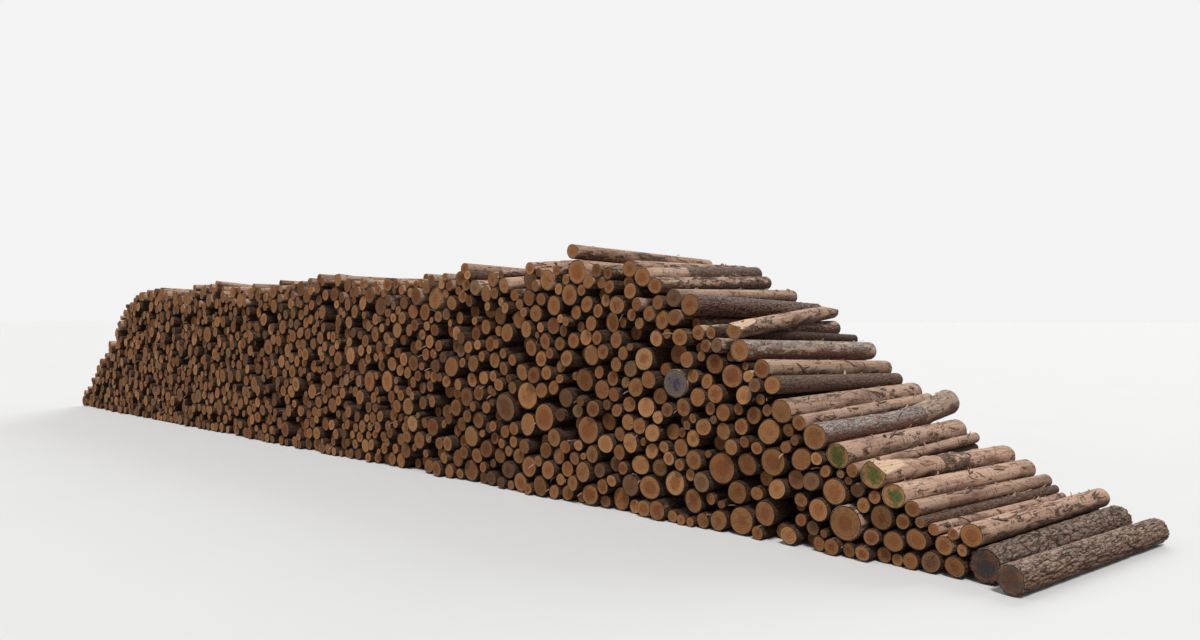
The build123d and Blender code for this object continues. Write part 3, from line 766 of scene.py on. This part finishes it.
# Material slots of a bay's logs; the third is the side with painted shade for logs inside the stack
SIDE, SAWN, SHADED_INNER, DULL, BROWN = range(5)
# Amounts of bark and their chances, for logs that show and for the others, which get more dark bark as
# painted shade inside the stack
SHOWN_AMOUNTS = ([0.28, 0.38, 0.5, 1.2], [0.35, 0.4, 0.2, 0.05])
HIDDEN_SHADE_AMOUNTS = ([0.6, 0.85, 1.2], [0.3, 0.35, 0.35])
FULL_BARK = 1
DULL_CHANCE = 0.05
SHOWN_OVAL, HIDDEN_OVAL = 0.09, 0.15
SKIN_SEED, LITTER_SEED = 7000, 4711
OUTLINE_STEP, OUTLINE_MARGIN = 0.01, 0.2


def middle_of(log):
    """The centre of the log's middle section, or halfway between its two ends."""
    centres = log["centres"]
    return centres[len(centres) // 2] if len(centres) > 2 else centres.mean(axis=0)


def open_to_the_sky(logs):
    """Whether each log shows from above, by the upper outline halfway along the logs."""
    middles = np.array([middle_of(log) for log in logs])
    radii = np.array([log["radii"].mean() for log in logs])
    shown = np.zeros(len(logs), bool)
    from_x, to_x = middles[:, 0].min() - OUTLINE_MARGIN, middles[:, 0].max() + OUTLINE_MARGIN
    for x in np.arange(from_x, to_x, OUTLINE_STEP):
        inside = np.flatnonzero(np.abs(x - middles[:, 0]) < radii)
        if len(inside):
            tops = middles[inside, 2] + np.sqrt(radii[inside] ** 2 - (x - middles[inside, 0]) ** 2)
            shown[inside[np.argmax(tops)]] = True
    return shown


def front_x(log):
    """Where the log's front end lies along the stack."""
    return log["centres"][0][0]


def mesh_detail(log, single, shown):
    """How finely a log without a detail of its own is built."""
    if single:
        return SINGLE_DETAIL
    if shown:
        return NEAR_TOP_DETAIL if front_x(log) > NEAR_TOP_X else FAR_TOP_DETAIL
    return NEAR_DETAIL if front_x(log) > NEAR_X else FAR_DETAIL


def dress(log, single, shown, rng):
    """The log's look: its random bark, tone, seed, slots and oval, and then what it has of its own."""
    amounts, chances = SHOWN_AMOUNTS if shown or single else HIDDEN_SHADE_AMOUNTS
    bark = rng.choice(amounts, p=chances)
    dull = rng.random() < DULL_CHANCE
    side = SIDE
    # Logs that don't show from above get the side with painted shade
    if not single and not shown:
        side = SHADED_INNER
    elif not single and bark >= FULL_BARK:
        side = BROWN
    return {"bark": bark, "tone": rng.uniform(0, 1), "seed": rng.uniform(0, 1),
            "slots": (side, DULL if dull and not single else SAWN),
            "oval": rng.uniform(0, SHOWN_OVAL if shown or single else HIDDEN_OVAL),
            **SPECIAL.get(log["node"], {})}


logs = [read_log(node_name, points) for node_name, node in sorted(frame["nodes"].items())
        for points in islands(node.data)]
shown = open_to_the_sky(logs)
pieces = {}
for number, log in enumerate(logs):
    rng = np.random.default_rng(SKIN_SEED + number)
    single = not log["node"].startswith("logs_bay")
    look = log["look"] = dress(log, single, shown[number], rng)
    detail = look.get("detail", mesh_detail(log, single, shown[number]))
    pieces.setdefault(log["node"], []).append(skin(log, detail, look, rng))

for node_name, parts in pieces.items():
    look = SPECIAL.get(node_name, {})
    materials = [look.get("side", peeled), look.get("end", sawn)]
    if node_name.startswith("logs_bay"):
        # A bay also holds the side with painted shade, the dull end and brown bark
        materials += [shaded_inner, dull_end, brown_bark]
    piece = merge(node_name + "_wood", parts, materials)
    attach(piece, "root")
    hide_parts(node_name)


# Bark strips, wood slivers and branch stubs on the logs that show

STRIP_LENGTH, STRIP_WIDTH, STRIP_THICK = (0.04, 0.19), (0.005, 0.02), (0.0012, 0.003)
STRIP_START = (0.06, 0.9)                  # as a share of the log's length
STRIP_TURN, STRIP_SPREAD = 0.35, 0.55      # how far strips turn on the log, and lie off its top
STRIP_CURL, STRIP_FLAT = (0.0, 0.03), (0.3, 0.8)
STRIP_LIFT = 0.0005
STRIP_POINTS = 7
STRIP_BARK = [0.2, 0.9]
STRIP_END = 0.99
LOG_LENGTH = 2
STRIP_TOP = 0.8                            # width of a strip's top, as a share of its foot
TAPER_ENDS, TAPER_RUN, TAPER_LEAST = (0.35, 0.65), 1.5, 0.25

SLIVER_REACH, SLIVER_RISE, SLIVER_START = (0.03, 0.1), (0.1, 0.7), (0.004, 0.02)
SLIVER_WIDTH, SLIVER_THICK = (0.006, 0.016), (0.002, 0.004)
SLIVER_ROOT, SLIVER_SINK, SLIVER_LEAN, SLIVER_DROOP = 0.05, -0.002, 0.8, (0, 0, -0.02)
SLIVER_POINTS = 6
SLIVER_BARK = 0.1

STUB_SIDES = 10
STUB_PLACE, STUB_FACING = (0.08, 0.95), (0.15, 2.8)
STUB_SIZE, STUB_HEIGHT, STUB_SINK, STUB_STRETCH = (0.007, 0.015), (0.010, 0.019), -0.006, 1.2
STUB_BARK, STUB_TONE = 0.5, (0, 0.6)
# Its rings: width and height as shares of the stub's, and place from pith 0 to rim 1
STUB_RINGS = ((1.45, 0.0, 1.0), (1.1, 0.45, 1.0), (0.95, 0.95, 1.0), (0.75, 1.0, 0.8))

TOP_X, NEAR_SLOPE_X, LITTERED_X = 1.5, 4.5, (6.6, 7.9)
FRONT_Y = -0.9
TOP_STRIPS, SLOPE_STRIPS, LITTER_STRIPS, SLIVERS, STUBS = 150, 110, 120, 150, 170
GROUND_CLEARANCE = 0.002


def on_log(log, along, angle, lift):
    """A point at a height over the log's surface, and the outward direction there."""
    share = along * (len(log["centres"]) - 1)
    low = min(int(share), len(log["centres"]) - 2)
    part = share - low
    centre, radius, axis = (log[field][low] * (1 - part) + log[field][low + 1] * part
                            for field in ("centres", "radii", "axes"))
    across = unit(np.cross(axis, UP))
    out = math.cos(angle) * across + math.sin(angle) * np.cross(across, axis)
    return centre + (radius + lift) * out, out


def small_skin(vertices, grain, share, kind, sides, fans, slots):
    """The data that merge needs of a strip or a stub, which has the same kind everywhere."""
    count = len(vertices)
    return {"vertices": vertices, "grain": grain, "share": share, "kind": np.tile(kind, (count, 1)),
            "mark": np.zeros((count, 3)), "sides": sides, "quads": np.empty((0, 4), int), "fans": fans,
            "slots": slots}


def ribbon(points, outs, width, thick, seed, bark):
    """A closed thin strip along a line of points."""
    count = len(points)
    points, outs = np.array(points), np.array(outs)
    way = unit(np.gradient(points, axis=0))
    beside = unit(np.cross(way, outs))
    over = np.cross(beside, way)
    order = np.arange(count)
    from_ends = np.minimum(order + TAPER_ENDS[0], count - TAPER_ENDS[1] - order)
    taper = np.clip(from_ends / TAPER_RUN, TAPER_LEAST, 1)[:, None]
    half, rise = beside * width / 2 * taper, over * thick
    top = half * STRIP_TOP
    vertices = np.stack([points - half, points + half, points + top + rise, points - top + rise], axis=1)
    vertices = vertices.reshape(-1, 3)
    last = (count - 1) * 4
    faces = np.concatenate([[[0, 1, 2, 3]], np.roll(tube_faces(4, count), -1, axis=1),
                            [[last + 3, last + 2, last + 1, last]]])
    run = np.linalg.norm(np.diff(points, axis=0), axis=1).sum()
    grain = np.column_stack([np.tile([-width / 2, width / 2, width / 2, -width / 2], count),
                             np.tile([0, 0, thick, thick], count), np.repeat(np.linspace(0, run, count), 4)])
    tone = 0.55 + 0.4 * math.sin(seed * 40)
    return small_skin(vertices, grain, np.ones(len(vertices)), [bark, tone, seed], faces,
                      np.empty((0, 3), int), (SIDE, SIDE))


def lying_strip(log, rng):
    """A strip that lies on top of a log and curls up at one end."""
    length = rng.uniform(*STRIP_LENGTH)
    turn = rng.normal(0, STRIP_TURN)
    start, angle = rng.uniform(*STRIP_START), math.pi / 2 + rng.normal(0, STRIP_SPREAD)
    curl, flat = rng.uniform(*STRIP_CURL), rng.uniform(*STRIP_FLAT)
    points, outs = [], []
    for t in np.linspace(0, 1, STRIP_POINTS):
        lift = STRIP_LIFT + curl * max(0.0, t - flat) ** 2 / (1 - flat) ** 2
        along = min(STRIP_END, start + length / LOG_LENGTH * t * math.cos(turn))
        point, out = on_log(log, along, angle + length * t * math.sin(turn) / log["radii"].mean(), lift)
        points.append(point)
        outs.append(out)
    return ribbon(points, outs, rng.uniform(*STRIP_WIDTH), rng.uniform(*STRIP_THICK), rng.uniform(0, 1),
                  rng.choice(STRIP_BARK))


def face_sliver(log, rng):
    """A torn sliver of wood that stands out from the log's side near its front end."""
    reach, angle, rise = rng.uniform(*SLIVER_REACH), rng.uniform(0, TURN), rng.uniform(*SLIVER_RISE)
    start, out = on_log(log, rng.uniform(*SLIVER_START), angle, SLIVER_SINK)
    root, _ = on_log(log, SLIVER_ROOT, angle, SLIVER_SINK)
    aim = -log["axes"][0] * SLIVER_LEAN + out * rise
    points = [root] + [start + aim * reach * t + np.array(SLIVER_DROOP) * t * t
                       for t in np.linspace(0, 1, SLIVER_POINTS)]
    return ribbon(points, [out] * len(points), rng.uniform(*SLIVER_WIDTH), rng.uniform(*SLIVER_THICK),
                  rng.uniform(0, 1), SLIVER_BARK)


def branch_stub(log, rng):
    """A low sawn-off branch on the log's side."""
    along, angle = rng.uniform(*STUB_PLACE), rng.uniform(*STUB_FACING)
    base, out = on_log(log, along, angle, STUB_SINK)
    axis = log["axes"][0]
    side = np.cross(axis, out)
    size, height = rng.uniform(*STUB_SIZE), rng.uniform(*STUB_HEIGHT)
    turn = np.linspace(0, TURN, STUB_SIDES, endpoint=False)
    cosine, sine = np.cos(turn), np.sin(turn)
    rows, grain, share = [], [], []
    for grow, rise, part in STUB_RINGS:
        ring = size * grow * (cosine[:, None] * axis * STUB_STRETCH + sine[:, None] * side)
        rows.append(base + ring + out * height * rise)
        wide = size * grow
        grain.append(np.column_stack([wide * cosine, wide * sine, np.full(STUB_SIDES, height * rise)]))
        share.append(np.full(STUB_SIDES, part))
    rows += [(base + out * height)[None], base[None]]
    grain += [np.array([[0, 0, height]]), np.zeros((1, 3))]
    share += [np.zeros(1), np.ones(1)]
    start = np.arange(STUB_SIDES)
    nxt = (start + 1) % STUB_SIDES
    tip = len(STUB_RINGS) * STUB_SIDES
    top = tip - STUB_SIDES
    fans = np.concatenate([np.column_stack([top + nxt, top + start, np.full(STUB_SIDES, tip)]),
                           np.column_stack([start, nxt, np.full(STUB_SIDES, tip + 1)])])
    kind = [STUB_BARK, rng.uniform(*STUB_TONE), rng.uniform(0, 1)]
    return small_skin(np.concatenate(rows), np.concatenate(grain), np.concatenate(share), kind,
                      np.roll(tube_faces(STUB_SIDES, len(STUB_RINGS)), -1, axis=1), fans, (SIDE, SAWN))


rng = np.random.default_rng(LITTER_SEED)
smooth_logs = [log for number, log in enumerate(logs) if shown[number] and front_x(log) > TOP_X
               and "plates" not in log["look"] and "facets" not in log["look"]]
slope_logs = [log for log in smooth_logs if front_x(log) > NEAR_SLOPE_X]
littered_logs = [log for log in smooth_logs if LITTERED_X[0] < front_x(log) < LITTERED_X[1]]
face_logs = [log for number, log in enumerate(logs) if not shown[number] and log["centres"][0][1] < FRONT_Y]
strips = []
for make, carriers, amount in ((lying_strip, smooth_logs, TOP_STRIPS),
                               (lying_strip, slope_logs, SLOPE_STRIPS),
                               (face_sliver, face_logs, SLIVERS),
                               (lying_strip, littered_logs, LITTER_STRIPS)):
    strips += [make(log, rng) for log in rng.choice(carriers, amount)]
strips = [strip for strip in strips if strip["vertices"][:, 2].min() > GROUND_CLEARANCE]
stubs = [branch_stub(log, rng) for log in rng.choice(smooth_logs, STUBS)]
for piece_name, parts in (("bark_strips", strips), ("branch_stubs", stubs)):
    piece = merge(piece_name, parts, [peeled, sawn])
    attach(piece, "root")


# Floor, light and camera

FLOOR_HALF = 700
FLOOR_PALE = ((0.745, 0.745, 0.74), (0.775, 0.775, 0.77))
FLOOR_BOUNCE = (0.22, 0.20, 0.18)
WORLD_LIGHT, WORLD_SEEN = 0.27, 0.9
# Turn in degrees, strength, and spread in degrees
LAMPS = {"key": ((32, 0, 46), 2.25, 14), "fill": ((62, 0, -40), 0.35, 60), "back": ((55, 0, 195), 1.0, 40)}


def background_rays(n):
    """1 where the background is looked at, straight or in a reflection, and 0 where it gives light."""
    rays = n.source("ShaderNodeLightPath")
    return n.math("MAXIMUM", rays["Is Camera Ray"],
                  n.math("MAXIMUM", rays["Is Glossy Ray"], rays["Is Transmission Ray"]))


def floor_material():
    """Pale where it is seen, and darker to the light that it throws back at the logs, as earth would be."""
    n = Nodes(bpy.data.materials.new("pale_floor"))
    shade = n.noise(n.source("ShaderNodeTexCoord")["Object"], scale=0.8, detail=3)
    colour = n.mix(background_rays(n), FLOOR_BOUNCE, n.mix(shade, *FLOOR_PALE))
    return n.finish(Base_Color=colour, Roughness=FLOOR_ROUGHNESS)


floor_mesh = bpy.data.meshes.new("floor")
floor_corners = [(x * FLOOR_HALF, y * FLOOR_HALF, 0) for x, y in ((-1, -1), (1, -1), (1, 1), (-1, 1))]
floor_mesh.from_pydata(floor_corners, [], [(0, 1, 2, 3)])
floor_mesh.materials.append(floor_material())
floor = bpy.data.objects.new("floor", floor_mesh)
bpy.context.scene.collection.objects.link(floor)

studio = Nodes(bpy.data.worlds.new("studio"), "Background")
strength = studio.step(background_rays(studio), 0.0, 1.0, WORLD_LIGHT, WORLD_SEEN)
bpy.context.scene.world = studio.finish(Color=(1, 1, 1, 1), Strength=strength)

for name, (turn, strength, spread) in LAMPS.items():
    light = bpy.data.lights.new(name, "SUN")
    light.energy = strength
    light.angle = math.radians(spread)
    lamp = bpy.data.objects.new(name, light)
    lamp.rotation_euler = [math.radians(part) for part in turn]
    bpy.context.scene.collection.objects.link(lamp)

camera_data = bpy.data.cameras.new("camera")
camera_data.lens = LENS
camera_data.sensor_width = SENSOR
camera_data.clip_end = VIEW_END
camera = bpy.data.objects.new("camera", camera_data)
camera.location = CAMERA_PLACE
camera.rotation_euler = (LEVEL, 0, CAMERA_TURN)
bpy.context.scene.collection.objects.link(camera)
bpy.context.scene.camera = camera
bpy.context.scene.view_settings.view_transform = "Standard"
